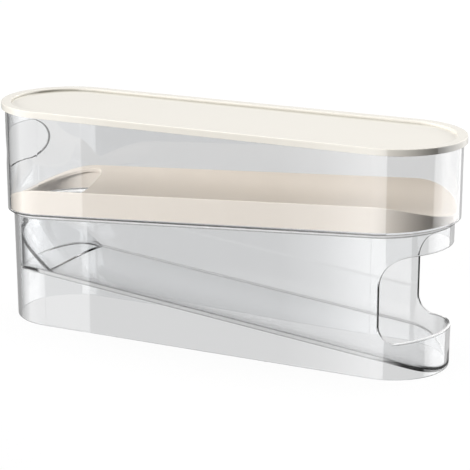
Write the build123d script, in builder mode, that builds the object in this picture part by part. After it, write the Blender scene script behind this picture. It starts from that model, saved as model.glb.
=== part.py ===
from build123d import *
import os
from math import cos, radians, sin, sqrt, tan

os.makedirs("parts", exist_ok=True)

# Frame: millimetres, +Z up, +X towards the front end, where the mouth is.
# The origin is on the floor, midway between the two round ends.

# Plan: every wall is a stadium about the same two end centres
end_centre_span = 271.2

# Lid
overall_height = 172.8
lid_radius = 51.9
lid_side_height = 5.0
lid_thickness = 2.0
lid_rim_width = 8.0
lid_recess_depth = 2.0
lid_skirt_depth = 4.2
lid_skirt_thickness = 1.8
lid_top_round = 0.8
lid_edge_round = 1.4

# Upper shell: wall, shoulder and finger slot
upper_radius = 49.1
upper_wall = 2.2
upper_slope = 4.0
shoulder_height = 99.7
shoulder_drop = 3.6
shoulder_round = 1.2
ledge_rise = 1.2
slot_length = 61.0
slot_height = 31.0
slot_depth_below_rim = 36.8

# Upper ramp: a trough on a skirt, with a drop hole at its rear end
tray_height = 19.4
tray_trough_radius = 85.0
tray_skirt = 2.0
tray_plate = 2.4
drop_hole_length = 49.6
drop_hole_corner = 6.0
tray_edge_round = 0.8

# Lower shell: drafted wall, tongue at its rim and mouth in its front end
floor_radius = 43.6
lower_wall = 2.2
lower_draft = 0.53
tongue_height = 2.6
tongue_thickness = 1.0
mouth_back = 142.0
lip_height = 26.5
lip_rise = 7.7
visor_depth = 18.6
mouth_top_round = 23.0
mouth_foot_round = 12.0
wall_edge_round = 0.6

# Lower ramp: a trough that slopes down to the front
ramp_slope = 5.7
ramp_edge_height = 32.1
ramp_trough_radius = 81.0
ramp_plate = 3.0
ramp_lift = 0.3
ramp_edge_round = 0.5

# Rear chute: a scoop in the rear end of the lower lane
chute_radius = 39.3
chute_wall = 1.2
chute_length = 60.0
scoop_axis_setback = 45.5
scoop_axis_height = 105.3
scoop_bend_radius = 89.5
scoop_cross_radius = 52.7

# Clearances
piece_gap = 0.3
seat_gap = 0.2

# Places worked out from the dimensions above
front_centre = end_centre_span / 2
shell_top = overall_height - lid_thickness
inner_radius = upper_radius - upper_wall
parting_height = shoulder_height - shoulder_drop
rim_radius = floor_radius + parting_height * tan(radians(lower_draft))
tongue_radius = rim_radius - lower_wall + tongue_thickness
blank_height = overall_height + end_centre_span
reach = front_centre + 2 * lid_radius
tray_radius = inner_radius - piece_gap
tray_edge_height = shoulder_height + ledge_rise + tray_height
tray_rise = sqrt(tray_trough_radius**2 - tray_radius**2)
tray_axis_height = tray_edge_height + tray_rise / cos(radians(upper_slope))
drop_hole_radius = rim_radius - lower_wall
drop_hole_front = drop_hole_length - front_centre - drop_hole_radius
chute_front = chute_length - chute_radius - front_centre
visor_height = shoulder_height - visor_depth
ramp_edge_radius = floor_radius - lower_wall - piece_gap
ramp_rise = sqrt(ramp_trough_radius**2 - ramp_edge_radius**2)
ramp_axis_height = ramp_edge_height + ramp_rise / cos(radians(ramp_slope))


def slope_plane(height, angle):
    """A plane through the Z axis at a height, tilted so that it rises towards +X by the angle."""
    turn = radians(angle)
    return Plane(origin=(0, 0, height), x_dir=(cos(turn), 0, sin(turn)), z_dir=(-sin(turn), 0, cos(turn)))


def is_on_slope(edge, height):
    """Whether an edge lies in the upper slope's plane at a height."""
    middle = edge.center()
    return abs(middle.Z - height - middle.X * tan(radians(upper_slope))) < piece_gap


def trough_faces(piece, radius):
    """The trough surfaces of a piece, found by their radius."""
    round_faces = piece.faces().filter_by(GeomType.CYLINDER)
    return round_faces.filter_by(lambda face: abs(face.radius - radius) < piece_gap)


def is_slot_edge(edge):
    """Whether an edge runs round the finger slot in the rear end."""
    box = edge.bounding_box()
    slot_middle = shell_top - slot_depth_below_rim
    is_level = abs(box.center().Z - slot_middle) < slot_height / 2 + piece_gap
    is_small = box.size.Z < slot_height + piece_gap and box.size.Y > upper_wall
    return is_level and is_small and box.max.X < -front_centre


def is_mouth_edge(edge):
    """Whether an edge runs round the mouth in the front end."""
    box = edge.bounding_box()
    roof = visor_height + box.max.X * tan(radians(upper_slope)) + piece_gap
    return box.min.X > mouth_back - piece_gap and box.min.Z > lip_height - piece_gap and box.max.Z < roof


def stadium_block(radius, bottom, top, draft=0.0):
    """An upright block of the plan's stadium shape; it widens upwards by the draft."""
    with BuildPart() as block:
        with BuildSketch(Plane.XY.offset(bottom)):
            SlotCenterToCenter(end_centre_span, 2 * radius)
        extrude(amount=top - bottom, taper=-draft)
    return block.part


def stadium_above(radius, plane, top):
    """An upright stadium block that starts at a sloping plane."""
    with BuildPart() as block:
        add(stadium_block(radius, 0, top))
        split(bisect_by=plane, keep=Keep.TOP)
    return block.part


def trough_roller(axis_height, radius, angle):
    """A long cylinder along a slope, whose underside is the surface of a trough."""
    axis_plane = slope_plane(axis_height, angle)
    with BuildPart() as roller:
        with BuildSketch(Plane(origin=axis_plane.origin, x_dir=(0, 1, 0), z_dir=axis_plane.x_dir)):
            Circle(radius)
        extrude(amount=reach, both=True)
    return roller.part


def scoop_tool(grow):
    """The solid of revolution about a level axis that hollows the chute; grow thickens it all round."""
    cross_radius = scoop_cross_radius + grow
    offset_from_axis = scoop_bend_radius - scoop_cross_radius
    axis_place = (-front_centre + scoop_axis_setback, 0, scoop_axis_height)
    with BuildPart() as tool:
        with BuildSketch(Plane(origin=axis_place, x_dir=(1, 0, 0), z_dir=(0, 0, 1))):
            with Locations((offset_from_axis, 0)):
                Circle(cross_radius)
            with Locations((-cross_radius, 0)):
                Rectangle(2 * cross_radius, 4 * cross_radius, mode=Mode.SUBTRACT)
        revolve(axis=Axis(axis_place, (0, 1, 0)))
    return tool.part


ledge_plane = slope_plane(shoulder_height + ledge_rise, upper_slope)
parting_plane = slope_plane(parting_height, upper_slope)
tongue_plane = slope_plane(parting_height + tongue_height, upper_slope)

# Lid
with BuildPart() as lid:
    with BuildSketch(Plane.XY.offset(overall_height - lid_side_height)):
        SlotCenterToCenter(end_centre_span, 2 * lid_radius)
    extrude(amount=lid_side_height)
    with BuildSketch(Plane.XY.offset(shell_top)):
        SlotCenterToCenter(end_centre_span, 2 * (upper_radius + piece_gap))
    extrude(amount=-lid_side_height, mode=Mode.SUBTRACT)
    with BuildSketch(Plane.XY.offset(shell_top)):
        SlotCenterToCenter(end_centre_span, 2 * (inner_radius - piece_gap))
    extrude(amount=-lid_skirt_depth)
    panel_underside = overall_height - lid_recess_depth - lid_thickness
    with BuildSketch(Plane.XY.offset(panel_underside)):
        SlotCenterToCenter(end_centre_span, 2 * (inner_radius - piece_gap - lid_skirt_thickness))
    extrude(amount=-lid_skirt_depth, mode=Mode.SUBTRACT)
    with BuildSketch(Plane.XY.offset(overall_height)):
        SlotCenterToCenter(end_centre_span, 2 * (lid_radius - lid_rim_width))
    extrude(amount=-lid_recess_depth, mode=Mode.SUBTRACT)
    top_edges = lid.faces().sort_by(Axis.Z)[-1].outer_wire().edges()
    fillet(top_edges, lid_top_round)
    rim_edges = lid.faces().sort_by(Axis.Z)[-1].inner_wires()[0].edges()
    fillet(rim_edges, lid_edge_round)
lid.part.label = "lid"

# Upper shell
with BuildPart() as upper_shell:
    add(stadium_above(upper_radius, parting_plane, shell_top))
    foot = upper_shell.faces().sort_by(Axis.Z)[0]
    chamfer(foot.edges(), upper_radius - rim_radius, shoulder_drop, reference=foot)
    shoulder_corner = upper_shell.edges().filter_by(lambda edge: is_on_slope(edge, shoulder_height))
    fillet(shoulder_corner, shoulder_round)
    add(stadium_above(inner_radius, ledge_plane, blank_height), mode=Mode.SUBTRACT)
    add(stadium_block(tongue_radius + piece_gap, 0, blank_height), mode=Mode.SUBTRACT)
    with BuildSketch(Plane.YZ.offset(-reach)):
        with Locations((0, shell_top - slot_depth_below_rim)):
            SlotOverall(slot_length, slot_height)
    extrude(amount=reach - front_centre, mode=Mode.SUBTRACT)
    slot_edges = upper_shell.edges().filter_by(lambda edge: is_slot_edge(edge))
    fillet(slot_edges, wall_edge_round)
    fillet(upper_shell.faces().sort_by(Axis.Z)[-1].edges(), wall_edge_round)
upper_shell.part.label = "upper_shell"

# Upper ramp
with BuildPart() as tray_hollow:
    add(stadium_block(tray_radius - tray_skirt, 0, shell_top))
    add(trough_roller(tray_axis_height, tray_trough_radius + tray_plate, upper_slope), mode=Mode.SUBTRACT)

with BuildPart() as upper_ramp:
    add(stadium_above(tray_radius, ledge_plane, shell_top))
    add(trough_roller(tray_axis_height, tray_trough_radius, upper_slope), mode=Mode.SUBTRACT)
    add(tray_hollow.part, mode=Mode.SUBTRACT)
    with BuildSketch() as drop_hole:
        SlotCenterToCenter(end_centre_span, 2 * drop_hole_radius)
        with Locations((drop_hole_front, 0)):
            Rectangle(reach * 2, reach, align=(Align.MIN, Align.CENTER), mode=Mode.SUBTRACT)
        fillet(drop_hole.vertices().group_by(Axis.X)[-1], drop_hole_corner)
    extrude(amount=shell_top, mode=Mode.SUBTRACT)
    fillet(trough_faces(upper_ramp, tray_trough_radius).edges(), tray_edge_round)
upper_ramp.part.label = "upper_ramp"

# Lower shell
with BuildPart() as seat_cut:
    add(stadium_above(reach, parting_plane, blank_height))
    add(stadium_block(tongue_radius, 0, blank_height), mode=Mode.SUBTRACT)

with BuildPart() as lower_shell:
    add(stadium_block(floor_radius, 0, shell_top, lower_draft))
    split(bisect_by=tongue_plane, keep=Keep.BOTTOM)
    add(stadium_block(floor_radius - lower_wall, 0, shell_top, lower_draft), mode=Mode.SUBTRACT)
    add(seat_cut.part, mode=Mode.SUBTRACT)
    with BuildSketch(Plane.XZ) as mouth:
        with BuildLine():
            Polyline(
                (mouth_back, lip_height),
                (reach, lip_height + (reach - mouth_back) * tan(radians(lip_rise))),
                (reach, visor_height + reach * tan(radians(upper_slope))),
                (mouth_back, visor_height + mouth_back * tan(radians(upper_slope))),
                close=True,
            )
        make_face()
        fillet(mouth.vertices().group_by(Axis.X)[0].sort_by(Axis.Y)[0], mouth_foot_round)
        fillet(mouth.vertices().group_by(Axis.X)[0].sort_by(Axis.Y)[-1], mouth_top_round)
    extrude(amount=reach, both=True, mode=Mode.SUBTRACT)
    mouth_edges = lower_shell.edges().filter_by(lambda edge: is_mouth_edge(edge))
    fillet(mouth_edges, wall_edge_round)
    fillet(lower_shell.faces().sort_by(Axis.Z)[0].edges(), wall_edge_round)
lower_shell.part.label = "lower_shell"

# Lower ramp
with BuildPart() as lower_ramp:
    add(stadium_block(ramp_edge_radius, ramp_lift, ramp_axis_height, lower_draft))
    add(trough_roller(ramp_axis_height, ramp_trough_radius + ramp_plate, -ramp_slope), mode=Mode.INTERSECT)
    add(trough_roller(ramp_axis_height, ramp_trough_radius, -ramp_slope), mode=Mode.SUBTRACT)
    fillet(trough_faces(lower_ramp, ramp_trough_radius).edges(), ramp_edge_round)
lower_ramp.part.label = "lower_ramp"


def chute_block(radius, grow):
    """The rear end of the lower lane, from the trough up to the scoop."""
    with BuildPart() as block:
        add(stadium_block(radius, 0, scoop_axis_height))
        split(bisect_by=Plane.YZ.offset(chute_front), keep=Keep.BOTTOM)
        trough = trough_roller(ramp_axis_height, ramp_trough_radius - seat_gap, -ramp_slope)
        add(trough, mode=Mode.INTERSECT)
        add(scoop_tool(grow), mode=Mode.SUBTRACT)
    return block.part


# Rear chute
with BuildPart() as rear_chute:
    add(chute_block(chute_radius, 0))
    add(chute_block(chute_radius - chute_wall, chute_wall), mode=Mode.SUBTRACT)
rear_chute.part.label = "rear_chute"

for piece in (lid, upper_shell, upper_ramp, lower_shell, lower_ramp, rear_chute):
    export_step(piece.part, f"parts/{piece.part.label}.step")
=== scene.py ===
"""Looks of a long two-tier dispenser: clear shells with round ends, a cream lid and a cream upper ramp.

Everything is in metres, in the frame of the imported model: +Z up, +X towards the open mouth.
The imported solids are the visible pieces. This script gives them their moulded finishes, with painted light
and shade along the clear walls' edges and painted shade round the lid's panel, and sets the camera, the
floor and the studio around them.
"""
import math

import bpy
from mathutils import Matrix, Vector

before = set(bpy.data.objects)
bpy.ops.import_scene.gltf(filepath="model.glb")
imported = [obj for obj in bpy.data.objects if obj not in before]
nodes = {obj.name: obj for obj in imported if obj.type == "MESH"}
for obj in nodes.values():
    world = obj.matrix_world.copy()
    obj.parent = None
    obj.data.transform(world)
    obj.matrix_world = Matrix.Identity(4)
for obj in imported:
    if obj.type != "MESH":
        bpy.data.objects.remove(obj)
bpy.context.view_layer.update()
scene = bpy.context.scene

# Camera, from the photograph's perspective
CAMERA_TARGET = Vector((0.0, 0.0, 0.0862))
CAMERA_DISTANCE = 1.37415
CAMERA_AZIMUTH = 25.677
CAMERA_ELEVATION = 15.768
CAMERA_LENS = 138.37
CAMERA_SENSOR = 36.0
CAMERA_SHIFT = (0.0215, -0.0175)
CAMERA_CLIP = (0.05, 50.0)

# Studio: what mirrored rays find at each heading, as (heading in degrees, brightness)
MIRROR_PEAK = 3.3
MIRROR_HEADINGS = (
    (-180.0, 0.25),
    (-172.0, 0.6),
    (-166.0, 1.1),
    (-160.0, 1.8),
    (-118.8, 1.75),
    (-116.0, 0.12),
    (-113.2, 0.2),
    (-112.6, 0.7),
    (-111.9, 1.8),
    (-110.5, 2.5),
    (-95.0, 2.5),
    (-82.3, 2.3),
    (-81.8, 0.05),
    (1.4, 0.05),
    (2.0, 1.7),
    (11.0, 2.1),
    (22.0, 3.0),
    (30.0, 3.0),
    (40.0, 2.5),
    (53.0, 2.1),
    (75.0, 1.5),
    (88.0, 0.75),
    (108.0, 0.6),
    (122.0, 0.56),
    (150.0, 0.12),
    (180.0, 0.25),
)
# a dark gap with sharp sides, as (from, to, softness) in degrees, and its brightness
MIRROR_GAP = (-120.38, -115.0, 0.06)
MIRROR_IN_GAP = 0.12
# above and below the headings, mixed in by height, where 0 is straight down and 1 straight up
MIRROR_ABOVE = 1.0
MIRROR_ABOVE_SHARE = ((0.78, 0.0), (0.9, 1.0))
MIRROR_BELOW = 0.9
MIRROR_BELOW_SHARE = ((0.1, 1.0), (0.22, 0.0))
# what is seen straight through the clear walls, by height
BACKDROP_SEEN_THROUGH = 0.75
BACKDROP_FADE = ((0.1, 0.7), (0.25, 1.0), (0.75, 1.0), (0.9, 0.8))
# soft light on matt surfaces
SKY_ZENITH = 1.95
SKY_FOCUS = 4.0
SKY_BELOW = 0.08
ANY_BOUNCE = 0.5

# Lamps, as (name, heading in degrees, power in watts)
LAMPS = (("key", -126.0, 176.0), ("fill", 60.0, 200.0))
LAMP_REACH = 4.0
LAMP_HEIGHT = 1.2
LAMP_SIZE = (1.3, 1.3)

# Floor: just under the object, so that its rim stays clear of it
FLOOR_HALF = 6.0
FLOOR_DROP = 0.0002
FLOOR_GREY = 0.9
FLOOR_MATT_SHARE = 0.16

# Light paths, long enough for the clear walls
CLEAR_BOUNCES = 32
GLOSS_BOUNCES = 8

# Clear plastic: its tint by how far it turns away, darkened as painted shade towards its outlines, and what
# it leaves of the light that passes through to other pieces
CLEAR_IOR = 1.49
CLEAR_TINT_AND_EDGE_SHADE = ((0.55, (0.955, 0.96, 0.965)), (0.95, (0.5, 0.5, 0.5)))
CLEAR_SHADOW = 0.98
WAVES = {"Scale": 16.0, "Detail": 1.0, "Roughness": 0.4}
WAVES_BUMP = {"Strength": 0.02, "Distance": 0.0006}
RUBS_STRETCH = (8.0, 60.0, 240.0)
RUBS = {"Scale": 6.0, "Detail": 4.0}
RUBS_FROM = (0.5, 0.8)
RUBS_ROUGHNESS = (0.0, 0.005)

# Cream plastic, as (material name, shade, deeper shade, roughness, recess_shade); recess_shade is how much
# painted shade darkens the wall round the lid's panel
CREAM_PIECES = {
    "lid": ("lid_cream", (0.9, 0.865, 0.79), (0.885, 0.845, 0.765), 0.05, 0.6),
    "upper_ramp": ("ramp_cream", (0.91, 0.84, 0.755), (0.895, 0.82, 0.735), 0.3, 0.0),
}
CREAM_IOR = 1.46
CREAM_SPECULAR = 1.0
MOTTLE = {"Scale": 22.0, "Detail": 3.0}
GRAIN = {"Scale": 2600.0, "Detail": 2.0}
GRAIN_BUMP = {"Strength": 0.12, "Distance": 0.00008}
PATCHES = {"Scale": 35.0, "Detail": 2.0}
PATCHES_FROM = (0.3, 0.7)
PATCHES_MORE = 0.04

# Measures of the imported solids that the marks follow, in metres and degrees
END_CENTRE = 0.1356
SHOULDER_HEIGHT = 0.0997
UPPER_SLOPE = 4.0
FLOOR_RADIUS = 0.0436
LOWER_DRAFT = 0.53
RAMP_RADIUS = 0.0411
RAMP_EDGE_HEIGHT = 0.0321
RAMP_SLOPE = 5.7
RAMP_TROUGH_RADIUS = 0.081
RAMP_AXIS_HEIGHT = 0.10225
SLOT_CENTRE = 0.015
SLOT_HEIGHT = 0.134
SLOT_RADIUS = 0.0155
LIP_BASE = 0.0073
LIP_RISE = 7.7
LID_PANEL_RADIUS = 0.0439
LID_PANEL_HEIGHT = 0.1708

# Where the painted light and shade lies: ranges as (low, high, softness), and steps as (edge, softness).
# They are in metres, but those called TURN, which run from 0 face on to 1 edge on, and FACES_UP, of the
# normal's height.
# painted shade where the clear walls turn away, lighter at the front end
RIM_SHADE_SOFTNESS = 0.03
RIM_SHADE_FRONT_X = (0.0, 0.01)
# upper shell: heights over the shoulder, distance from the slot's outline
UPPER_RIM_SHADE_TURN = 0.73
UPPER_OUTSIDE_RADIUS = (0.0482, 0.0003)
LEDGE = (-0.0004, 0.0012, 0.0002)
LEDGE_END_X = (0.147, 0.002)
LEDGE_THINS_X = (0.05, 0.09)
LEDGE_THINS_BY = 0.4
SHOULDER_TURN = (0.88, 0.04)
SHOULDER_BRIGHT = (-0.0019, -0.0004, 0.0002)
SHOULDER_DULL = (-0.0040, -0.0018, 0.0002)
SHOULDER_EDGE_ON = (-0.0040, 0.0004, 0.0004)
SLOT_OUTLINE = (-0.0003, 0.0005, 0.0003)
SLOT_END_X = (-0.142, 0.001)
SLOT_INNER_RADIUS = (0.0477, 0.0004)
# lower shell: depths into the wall, the mouth's places, distances under the lip, heights over the ramp
LOWER_RIM_SHADE_TURN = 0.62
LOWER_OUTSIDE_DEPTH = (0.0007, 0.0003)
MOUTH_CUT_DEPTH = (0.0001, 0.0021, 0.00015)
MOUTH_START_X = (0.1412, 0.0005)
MOUTH_Z = (0.024, 0.096, 0.0005)
UPRIGHT_X = (0.1410, 0.1428, 0.0003)
UPRIGHT_Z = (0.036, 0.074, 0.004)
FACES_UP = (0.5, 0.2)
LIP_START_X = (0.150, 0.004)
LIP_PALE = (-0.0002, 0.0009, 0.0003)
LIP_DARK = (0.0009, 0.0017, 0.0003)
TIP_X = (0.168, 0.003)
TIP_Y = (0.008, 0.006)
EAR = (-0.0010, 0.0045, 0.0012)
STROKE = (-0.0012, 0.0018, 0.0006)
STROKE_X = (0.166, 0.006)
STROKE_Y = (0.010, 0.008)
CLIMB = (-0.0028, 0.0110, 0.0030)
CLIMB_TURN = (0.72, 0.05)
REAR_STROKE = (-0.0036, -0.0012, 0.0004)
REAR_STROKE_X = (-0.160, -0.1395, 0.003)
REAR_STROKE_Y = (-0.02, 0.004)
# lower ramp: heights over its edge
RAMP_SIDE_DEPTH = (-0.0002, 0.0001)
RAMP_TOP_LINE = (-0.0009, 0.0006, 0.0002)
RAMP_FOOT_LINE = (-0.0040, -0.0029, 0.0002)
RAMP_NEAR_Y = (0.0, 0.02)
RAMP_FRONT_X = (0.146, 0.012)
RAMP_REAR_X = (-0.142, 0.003)
RAMP_REAR = (-0.0036, -0.0008, 0.0004)
# lid: painted shade on the wall round its panel and on the panel's own edge; RECESS_REAR_X is a distance to
# the rear
RECESS_PAINTED_SHADE = (0.38, 0.36, 0.3)
RECESS_WALL_RADIUS = (LID_PANEL_RADIUS - 0.0004, LID_PANEL_RADIUS + 0.0030, 0.0004)
RECESS_WALL_Y = (-0.028, 0.01)
RECESS_FOOT_RADIUS = (LID_PANEL_RADIUS - 0.0080, 0.0074)
RECESS_FOOT_Y = (0.0, 0.02)
RECESS_LOW_Z = (LID_PANEL_HEIGHT - 0.0004, 0.0002)
RECESS_HIGH_Z = (LID_PANEL_HEIGHT, 0.0020)
RECESS_REAR_X = (0.12, 0.04)
RECESS_REAR_MORE = 0.35
RECESS_FRONT_X = (0.13, 0.04)

# How each mark of painted light or shade is laid on, as (cover, grey, glow); the glow is emission that makes
# a painted highlight shine though it is no lamp
PAINT = {
    "rim_shade_front": (0.8, 0.66, 0.0),
    "rim_shade_rear": (0.6, 0.42, 0.0),
    "ledge": (0.7, 0.03, 0.0),
    "shoulder_bright": (0.75, 0.9, 0.62),
    "shoulder_dull": (0.7, 0.4, 0.24),
    "shoulder_edge_on": (0.7, 0.06, 0.0),
    "slot_outline": (0.85, 0.02, 0.0),
    "mouth_upright": (0.85, 0.02, 0.0),
    "mouth_side": (0.85, 0.02, 0.0),
    "mouth_lip": (0.8, 0.95, 0.0),
    "mouth_tip": (0.8, 0.08, 0.0),
    "ear": (0.6, 0.08, 0.0),
    "stroke": (0.85, 0.02, 0.0),
    "climb": (0.6, 0.06, 0.0),
    "rear_stroke": (0.8, 0.03, 0.0),
    "lip_pale": (0.75, 0.95, 0.3),
    "lip_dark": (0.45, 0.1, 0.0),
    "ramp_side": (0.75, 0.75, 0.0),
    "ramp_lines": (0.5, 0.1, 0.0),
    "ramp_front": (0.9, 0.02, 0.0),
    "ramp_rear": (0.85, 0.03, 0.0),
}


def node(tree, kind, **settings):
    """A new shader node, with its properties set by name and its inputs by a dict called inputs."""
    made = tree.nodes.new("ShaderNode" + kind)
    inputs = settings.pop("inputs", {})
    for key, value in settings.items():
        setattr(made, key, value)
    for key, value in inputs.items():
        if isinstance(value, bpy.types.NodeSocket):
            tree.links.new(value, made.inputs[key])
        else:
            made.inputs[key].default_value = value
    return made


def math_node(tree, operation, *values, clamp=False):
    """A math node on numbers or sockets; gives its output socket."""
    inputs = dict(enumerate(values))
    return node(tree, "Math", operation=operation, use_clamp=clamp, inputs=inputs).outputs[0]


def product(tree, *values):
    """Several sockets or numbers multiplied; gives the output socket."""
    result = values[0]
    for value in values[1:]:
        result = math_node(tree, "MULTIPLY", result, value)
    return result


def opposite(tree, value):
    """One less a value; gives the output socket."""
    return math_node(tree, "SUBTRACT", 1.0, value)


def band(tree, value, low, high, soft):
    """One inside a range of a value and zero outside it, with soft ends; gives the output socket."""
    rise = math_node(tree, "DIVIDE", math_node(tree, "SUBTRACT", value, low), soft, clamp=True)
    fall = math_node(tree, "DIVIDE", math_node(tree, "SUBTRACT", high, value), soft, clamp=True)
    return math_node(tree, "MULTIPLY", rise, fall)


def above(tree, value, edge, soft):
    """Zero below an edge of a value and one above it, with a soft step; gives the output socket."""
    return math_node(tree, "DIVIDE", math_node(tree, "SUBTRACT", value, edge), soft, clamp=True)


def below(tree, value, edge, soft):
    """One below an edge of a value and zero above it, with a soft step; gives the output socket."""
    return opposite(tree, above(tree, value, edge, soft))


def length(tree, first, second):
    """The long side of a right-angled triangle; gives the output socket."""
    squares = math_node(tree, "ADD", product(tree, first, first), product(tree, second, second))
    return math_node(tree, "SQRT", squares)


def past_centre(tree, value, centre):
    """How far a value lies beyond a centre on either side of zero, and zero between them."""
    past = math_node(tree, "SUBTRACT", math_node(tree, "ABSOLUTE", value), centre)
    return math_node(tree, "MAXIMUM", past, 0.0)


def ramp(tree, factor, stops, interpolation="LINEAR"):
    """A colour ramp over stops of (position, grey or colour); gives its output socket."""
    made = node(tree, "ValToRGB", inputs={"Fac": factor})
    made.color_ramp.interpolation = interpolation
    elements = made.color_ramp.elements
    while len(elements) < len(stops):
        elements.new(0.5)
    for element, (position, value) in zip(elements, stops):
        colour = value if isinstance(value, tuple) else (value, value, value)
        element.position = position
        element.color = (*colour, 1.0)
    return made.outputs["Color"]


def mix_colour(tree, factor, first, second):
    """Two colours mixed by a factor; gives the output socket."""
    return node(tree, "MixRGB", inputs={"Fac": factor, "Color1": first, "Color2": second}).outputs[0]


def mix_shader(tree, factor, first, second):
    """Two shaders mixed by a factor; gives the output socket."""
    return node(tree, "MixShader", inputs={"Fac": factor, 1: first, 2: second}).outputs[0]


def noise(tree, vector, settings):
    """A noise texture; gives its factor socket."""
    return node(tree, "TexNoise", inputs={"Vector": vector, **settings}).outputs["Fac"]


def bump(tree, height, settings):
    """A bump by a height; gives the normal socket."""
    return node(tree, "Bump", inputs={**settings, "Height": height}).outputs[0]


def map_range(tree, value, source, target):
    """A value carried from one range to another; gives the output socket."""
    limits = {"From Min": source[0], "From Max": source[1], "To Min": target[0], "To Max": target[1]}
    return node(tree, "MapRange", inputs={"Value": value, **limits}).outputs[0]


def grey(value):
    return (value, value, value, 1.0)


def new_material(name):
    """An empty node material, as (material, tree)."""
    material = bpy.data.materials.new(name)
    material.use_nodes = True
    material.node_tree.nodes.clear()
    return material, material.node_tree


def make_world():
    """The studio: white behind, soft light for matt surfaces, and lit and unlit headings for gloss."""
    world = bpy.data.worlds.new("studio")
    world.use_nodes = True
    scene.world = world
    tree = world.node_tree
    tree.nodes.clear()
    direction = node(tree, "TexCoord").outputs["Generated"]
    x, y, z = node(tree, "SeparateXYZ", inputs={0: direction}).outputs
    # soft light, strongest overhead
    lift = math_node(tree, "MAXIMUM", z, 0.0)
    overhead = math_node(tree, "MULTIPLY", math_node(tree, "POWER", lift, SKY_FOCUS), SKY_ZENITH)
    underneath = math_node(tree, "MULTIPLY", math_node(tree, "LESS_THAN", z, 0.0), SKY_BELOW)
    soft = math_node(tree, "ADD", overhead, underneath)
    # mirrored light by heading, even above and below
    heading = math_node(tree, "ARCTAN2", y, x)
    turn = math_node(tree, "MULTIPLY_ADD", heading, 0.5 / math.pi, 0.5)
    stops = [((degrees + 180) / 360, level / MIRROR_PEAK) for degrees, level in MIRROR_HEADINGS]
    mirrored = math_node(tree, "MULTIPLY", ramp(tree, turn, stops), MIRROR_PEAK)
    # the long side mirrors one sharp edge, finer than a colour ramp can hold
    in_gap = band(tree, math_node(tree, "DEGREES", heading), *MIRROR_GAP)
    mirrored = mix_colour(tree, in_gap, mirrored, grey(MIRROR_IN_GAP))
    height = math_node(tree, "MULTIPLY_ADD", z, 0.5, 0.5)
    up = ramp(tree, height, MIRROR_ABOVE_SHARE)
    down = ramp(tree, height, MIRROR_BELOW_SHARE)
    mirrored = mix_colour(tree, up, mirrored, grey(MIRROR_ABOVE))
    mirrored = mix_colour(tree, down, mirrored, grey(MIRROR_BELOW))
    through = ramp(tree, height, [(place, share * BACKDROP_SEEN_THROUGH) for place, share in BACKDROP_FADE])
    path = node(tree, "LightPath").outputs
    met_gloss = math_node(tree, "GREATER_THAN", path["Glossy Depth"], ANY_BOUNCE)
    met_matt = math_node(tree, "GREATER_THAN", path["Diffuse Depth"], ANY_BOUNCE)
    colour = mix_colour(tree, met_gloss, through, mirrored)
    colour = mix_colour(tree, met_matt, colour, soft)
    colour = mix_colour(tree, path["Is Camera Ray"], colour, grey(1.0))
    background = node(tree, "Background", inputs={"Color": colour, "Strength": 1.0})
    node(tree, "OutputWorld", inputs={"Surface": background.outputs[0]})
    world.cycles.sampling_method = "NONE"


def make_floor():
    """A plain pale floor, part of the set."""
    mesh = bpy.data.meshes.new("floor")
    signs = [(-1, -1), (1, -1), (1, 1), (-1, 1)]
    corners = [(FLOOR_HALF * x, FLOOR_HALF * y, -FLOOR_DROP) for x, y in signs]
    mesh.from_pydata(corners, [], [(0, 1, 2, 3)])
    floor = bpy.data.objects.new("floor", mesh)
    scene.collection.objects.link(floor)
    material, tree = new_material("pale_floor")
    glow = node(tree, "Emission", inputs={"Color": grey(1.0), "Strength": 1.0})
    matt = node(tree, "BsdfDiffuse", inputs={"Color": grey(FLOOR_GREY)})
    surface = mix_shader(tree, FLOOR_MATT_SHARE, glow.outputs[0], matt.outputs[0])
    node(tree, "OutputMaterial", inputs={"Surface": surface})
    mesh.materials.append(material)
    floor.visible_glossy = False
    floor.visible_transmission = False
    floor.visible_diffuse = False
    floor.visible_shadow = False


def make_camera():
    """The photograph's camera: a long lens, a little to the right of the front and above."""
    data = bpy.data.cameras.new("camera")
    data.lens = CAMERA_LENS
    data.sensor_width = CAMERA_SENSOR
    data.sensor_fit = "HORIZONTAL"
    data.shift_x, data.shift_y = CAMERA_SHIFT
    data.clip_start, data.clip_end = CAMERA_CLIP
    camera = bpy.data.objects.new("camera", data)
    scene.collection.objects.link(camera)
    azimuth, elevation = math.radians(CAMERA_AZIMUTH), math.radians(CAMERA_ELEVATION)
    level = math.cos(elevation)
    back = Vector((level * math.sin(azimuth), -level * math.cos(azimuth), math.sin(elevation)))
    camera.location = CAMERA_TARGET + CAMERA_DISTANCE * back
    camera.rotation_mode = "QUATERNION"
    camera.rotation_quaternion = (-back).to_track_quat("-Z", "Y")
    scene.camera = camera


def make_lamps():
    """Two large soft lamps: the key at the left in front, and the fill at the right behind."""
    for name, heading, power in LAMPS:
        data = bpy.data.lights.new(name, "AREA")
        data.shape = "RECTANGLE"
        data.size, data.size_y = LAMP_SIZE
        data.energy = power
        lamp = bpy.data.objects.new(name, data)
        scene.collection.objects.link(lamp)
        turn = math.radians(heading)
        lamp.location = (LAMP_REACH * math.cos(turn), LAMP_REACH * math.sin(turn), LAMP_HEIGHT)
        lamp.rotation_mode = "QUATERNION"
        lamp.rotation_quaternion = (CAMERA_TARGET - lamp.location).to_track_quat("-Z", "Y")
        lamp.visible_glossy = False
        lamp.visible_transmission = False
        lamp.visible_camera = False


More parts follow.
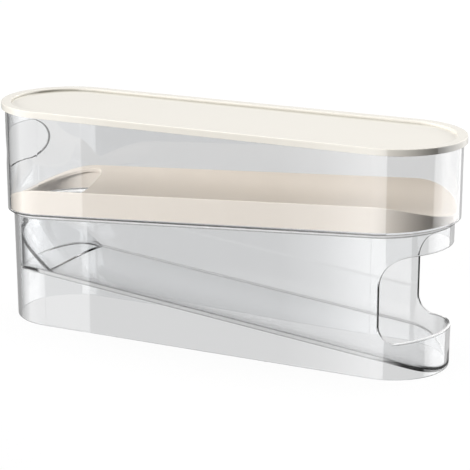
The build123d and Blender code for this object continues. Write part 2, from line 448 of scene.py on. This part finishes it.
class Place:
    """Where a point lies on the object, as sockets in metres."""

    def __init__(self, tree):
        self.tree = tree
        self.point = node(tree, "TexCoord").outputs["Object"]
        self.x, self.y, self.z = node(tree, "SeparateXYZ", inputs={0: self.point}).outputs
        normal = node(tree, "NewGeometry").outputs["Normal"]
        self.normal_z = node(tree, "SeparateXYZ", inputs={0: normal}).outputs[2]
        self.radius = length(tree, past_centre(tree, self.x, END_CENTRE), self.y)
        self.facing = node(tree, "LayerWeight", inputs={"Blend": 0.5}).outputs["Facing"]

    def over_slope(self, height, rise):
        """How far the point lies above a plane that passes a height at the middle and rises towards +X."""
        level = math_node(self.tree, "MULTIPLY_ADD", self.x, math.tan(math.radians(rise)), height)
        return math_node(self.tree, "SUBTRACT", self.z, level)

    def drafted(self, radius):
        """The radius of a wall with the base's draft at the point's height, from its radius at the floor."""
        return math_node(self.tree, "MULTIPLY_ADD", self.z, math.tan(math.radians(LOWER_DRAFT)), radius)


def painted(tree, name, *masks):
    """A mark of painted light or shade over the product of its masks, as (mask, grey, glow)."""
    cover, level, glow = PAINT[name]
    return product(tree, *masks, cover), level, glow


def painted_rim_shade(tree, place, outside, turn):
    """Painted shade on the walls where they turn away: lighter at the front end than at the rear end."""
    turned = product(tree, above(tree, place.facing, turn, RIM_SHADE_SOFTNESS), outside)
    front = above(tree, place.x, *RIM_SHADE_FRONT_X)
    return [
        painted(tree, "rim_shade_front", turned, front),
        painted(tree, "rim_shade_rear", turned, opposite(tree, front)),
    ]


def upper_shell_painted_light(tree, place):
    """Painted shade and glowing painted highlights along the shoulder, and a painted dark outline round the
    finger slot's cut edge.
    """
    over = place.over_slope(SHOULDER_HEIGHT, UPPER_SLOPE)
    outside = above(tree, place.radius, *UPPER_OUTSIDE_RADIUS)
    thins = opposite(tree, product(tree, above(tree, place.x, *LEDGE_THINS_X), LEDGE_THINS_BY))
    ledge = product(tree, band(tree, over, *LEDGE), outside, below(tree, place.x, *LEDGE_END_X), thins)
    turned = above(tree, place.facing, *SHOULDER_TURN)
    open_to_view = opposite(tree, turned)
    # the slot's painted dark outline, as a distance from its own stadium in the end wall
    drop = math_node(tree, "SUBTRACT", place.z, SLOT_HEIGHT)
    from_centre = length(tree, past_centre(tree, place.y, SLOT_CENTRE), drop)
    from_slot = math_node(tree, "SUBTRACT", from_centre, SLOT_RADIUS)
    at_slot = product(tree, band(tree, from_slot, *SLOT_OUTLINE), below(tree, place.x, *SLOT_END_X))
    # a painted dark line at the ledge, a glowing painted highlight and a dimmer glowing band under it, and
    # painted shade where it turns edge-on
    return painted_rim_shade(tree, place, outside, UPPER_RIM_SHADE_TURN) + [
        painted(tree, "ledge", ledge),
        painted(tree, "shoulder_bright", band(tree, over, *SHOULDER_BRIGHT), open_to_view),
        painted(tree, "shoulder_dull", band(tree, over, *SHOULDER_DULL), open_to_view),
        painted(tree, "shoulder_edge_on", band(tree, over, *SHOULDER_EDGE_ON), turned),
        painted(tree, "slot_outline", at_slot, below(tree, place.radius, *SLOT_INNER_RADIUS)),
    ]


def lower_shell_painted_light(tree, place):
    """Painted shade and highlights on the mouth's cut edge, dark up its sides and pale along its lip, and
    painted dark strokes at the ramp's ends at the wall.
    """
    depth = math_node(tree, "SUBTRACT", place.drafted(FLOOR_RADIUS), place.radius)
    outside = below(tree, depth, *LOWER_OUTSIDE_DEPTH)
    at_mouth = product(
        tree, band(tree, depth, *MOUTH_CUT_DEPTH), above(tree, place.x, *MOUTH_START_X),
        band(tree, place.z, *MOUTH_Z),
    )
    faces_up = above(tree, place.normal_z, *FACES_UP)
    upright = product(tree, band(tree, place.x, *UPRIGHT_X), band(tree, place.z, *UPRIGHT_Z))
    # below the lip, a glowing painted highlight line and a painted dark line under it
    under_lip = math_node(tree, "MULTIPLY", place.over_slope(LIP_BASE, LIP_RISE), -1.0)
    past_foot = product(tree, above(tree, place.x, *LIP_START_X), outside)
    tip = product(tree, above(tree, place.x, *TIP_X), above(tree, place.y, *TIP_Y))
    # painted dark strokes where the ramp's dark front edge meets the wall and climbs along its turned rim
    across = math_node(tree, "SUBTRACT", RAMP_TROUGH_RADIUS ** 2, product(tree, place.y, place.y))
    drop = math_node(tree, "DIVIDE", math_node(tree, "SQRT", across), math.cos(math.radians(RAMP_SLOPE)))
    over_ramp = math_node(tree, "ADD", place.over_slope(RAMP_AXIS_HEIGHT, -RAMP_SLOPE), drop)
    at_end = product(tree, above(tree, place.x, *STROKE_X), outside)
    stroke = product(tree, band(tree, over_ramp, *STROKE), below(tree, place.y, *STROKE_Y), at_end)
    climb = product(tree, band(tree, over_ramp, *CLIMB), above(tree, place.facing, *CLIMB_TURN), at_end)
    rear_stroke = product(
        tree, band(tree, over_ramp, *REAR_STROKE), band(tree, place.x, *REAR_STROKE_X),
        below(tree, place.y, *REAR_STROKE_Y), outside,
    )
    return painted_rim_shade(tree, place, outside, LOWER_RIM_SHADE_TURN) + [
        painted(tree, "mouth_upright", upright),
        painted(tree, "mouth_side", at_mouth, opposite(tree, faces_up)),
        painted(tree, "mouth_lip", at_mouth, faces_up),
        painted(tree, "mouth_tip", at_mouth, faces_up, tip),
        painted(tree, "ear", band(tree, under_lip, *EAR), tip, outside),
        painted(tree, "stroke", stroke),
        painted(tree, "climb", climb),
        painted(tree, "rear_stroke", rear_stroke),
        painted(tree, "lip_pale", band(tree, under_lip, *LIP_PALE), past_foot),
        painted(tree, "lip_dark", band(tree, under_lip, *LIP_DARK), past_foot),
    ]


def lower_ramp_painted_light(tree, place):
    """Painted light and shade on the ramp's side: pale between two thin dark lines, and dark at both its
    ends.
    """
    over = place.over_slope(RAMP_EDGE_HEIGHT, -RAMP_SLOPE)
    past_wall = math_node(tree, "SUBTRACT", place.radius, place.drafted(RAMP_RADIUS))
    at_side = above(tree, past_wall, *RAMP_SIDE_DEPTH)
    lines = math_node(tree, "MAXIMUM", band(tree, over, *RAMP_TOP_LINE), band(tree, over, *RAMP_FOOT_LINE))
    near = below(tree, place.y, *RAMP_NEAR_Y)
    at_front = product(tree, above(tree, place.x, *RAMP_FRONT_X), near)
    at_rear = product(tree, below(tree, place.x, *RAMP_REAR_X), near, band(tree, over, *RAMP_REAR))
    return [
        painted(tree, "ramp_side", at_side),
        painted(tree, "ramp_lines", at_side, lines),
        painted(tree, "ramp_front", at_side, at_front),
        painted(tree, "ramp_rear", at_side, at_rear),
    ]


def no_painted_light(tree, place):
    """The chute carries no painted light or shade."""
    return []


def clear_plastic(name, painted_light):
    """Clear moulded plastic: it refracts, has painted shade in its tint where seen edge-on, and faint flow
    waves.

    The painted light and shade is laid over it in turn, each as (mask, grey, glow): painted dark lines along
    edges, and pale painted highlights, some glowing though they are no lamps.
    """
    material, tree = new_material(name)
    place = Place(tree)
    waves = bump(tree, noise(tree, place.point, WAVES), WAVES_BUMP)
    stretched = node(tree, "Mapping", inputs={"Vector": place.point, "Scale": RUBS_STRETCH}).outputs[0]
    glass = node(
        tree, "BsdfPrincipled",
        inputs={
            # the faint tint, darkened as painted shade where the wall is seen edge-on
            "Base Color": ramp(tree, place.facing, CLEAR_TINT_AND_EDGE_SHADE, "EASE"),
            "Roughness": map_range(tree, noise(tree, stretched, RUBS), RUBS_FROM, RUBS_ROUGHNESS),
            "IOR": CLEAR_IOR,
            "Transmission Weight": 1.0,
            "Normal": waves,
        },
    )
    shader = glass.outputs[0]
    # each mark is painted light or shade: a grey over the glass, with an emission glow for shining
    # highlights
    for mask, level, glow in painted_light(tree, place):
        mark = node(tree, "BsdfDiffuse", inputs={"Color": grey(level)})
        if glow:
            painted_glow = node(tree, "Emission", inputs={"Color": grey(1.0), "Strength": glow})
            mark = node(tree, "AddShader", inputs={0: mark.outputs[0], 1: painted_glow.outputs[0]})
        shader = mix_shader(tree, mask, shader, mark.outputs[0])
    open_way = node(tree, "BsdfTransparent", inputs={"Color": grey(CLEAR_SHADOW)})
    path = node(tree, "LightPath").outputs
    lets_by = math_node(tree, "MAXIMUM", path["Is Shadow Ray"], path["Is Diffuse Ray"])
    surface = mix_shader(tree, lets_by, shader, open_way.outputs[0])
    node(tree, "OutputMaterial", inputs={"Surface": surface})
    return material


def painted_recess_shade(tree, place, recess_shade):
    """How much painted shade darkens the wall round the lid's panel and the panel's edge: darkest at the
    rear end, and fading towards the front.
    """
    at_wall = band(tree, place.radius, *RECESS_WALL_RADIUS)
    at_wall = product(tree, at_wall, above(tree, place.y, *RECESS_WALL_Y))
    at_foot = above(tree, place.radius, *RECESS_FOOT_RADIUS)
    at_foot = product(tree, at_foot, above(tree, place.y, *RECESS_FOOT_Y))
    rear_end = above(tree, math_node(tree, "MULTIPLY", place.x, -1.0), *RECESS_REAR_X)
    return product(
        tree, math_node(tree, "MAXIMUM", at_wall, at_foot),
        above(tree, place.z, *RECESS_LOW_Z), below(tree, place.z, *RECESS_HIGH_Z),
        math_node(tree, "MULTIPLY_ADD", rear_end, RECESS_REAR_MORE, recess_shade, clamp=True),
        below(tree, place.x, *RECESS_FRONT_X),
    )


def cream_plastic(name, shade, deep, gloss, recess_shade):
    """Satin cream plastic: faintly mottled colour, a fine moulded grain and a soft sheen.

    The recess_shade is how much painted shade darkens the wall round the lid's panel.
    """
    material, tree = new_material(name)
    place = Place(tree)
    colour = mix_colour(tree, noise(tree, place.point, MOTTLE), (*shade, 1.0), (*deep, 1.0))
    if recess_shade:
        # painted shade on the wall round the lid's panel
        colour = mix_colour(tree, painted_recess_shade(tree, place, recess_shade), colour, (*RECESS_PAINTED_SHADE, 1.0))
    patches = noise(tree, place.point, PATCHES)
    plastic = node(
        tree, "BsdfPrincipled",
        inputs={
            "Base Color": colour,
            "Roughness": map_range(tree, patches, PATCHES_FROM, (gloss, gloss + PATCHES_MORE)),
            "IOR": CREAM_IOR,
            "Specular IOR Level": CREAM_SPECULAR,
            "Normal": bump(tree, noise(tree, place.point, GRAIN), GRAIN_BUMP),
        },
    )
    node(tree, "OutputMaterial", inputs={"Surface": plastic.outputs[0]})
    return material


def dress(name, material):
    """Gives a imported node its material."""
    for slot in nodes[name].material_slots:
        slot.material = material


scene.view_settings.view_transform = "Standard"
scene.view_settings.look = "None"
scene.cycles.max_bounces = CLEAR_BOUNCES
scene.cycles.transmission_bounces = CLEAR_BOUNCES
scene.cycles.glossy_bounces = GLOSS_BOUNCES
scene.cycles.transparent_max_bounces = CLEAR_BOUNCES

make_camera()
make_world()
make_floor()
make_lamps()

CLEAR_PAINTED_LIGHT = {
    "upper_shell": upper_shell_painted_light,
    "lower_shell": lower_shell_painted_light,
    "lower_ramp": lower_ramp_painted_light,
    "rear_chute": no_painted_light,
}
for piece, painted_light in CLEAR_PAINTED_LIGHT.items():
    dress(piece, clear_plastic(f"{piece}_clear", painted_light))
for piece, finish in CREAM_PIECES.items():
    dress(piece, cream_plastic(*finish))
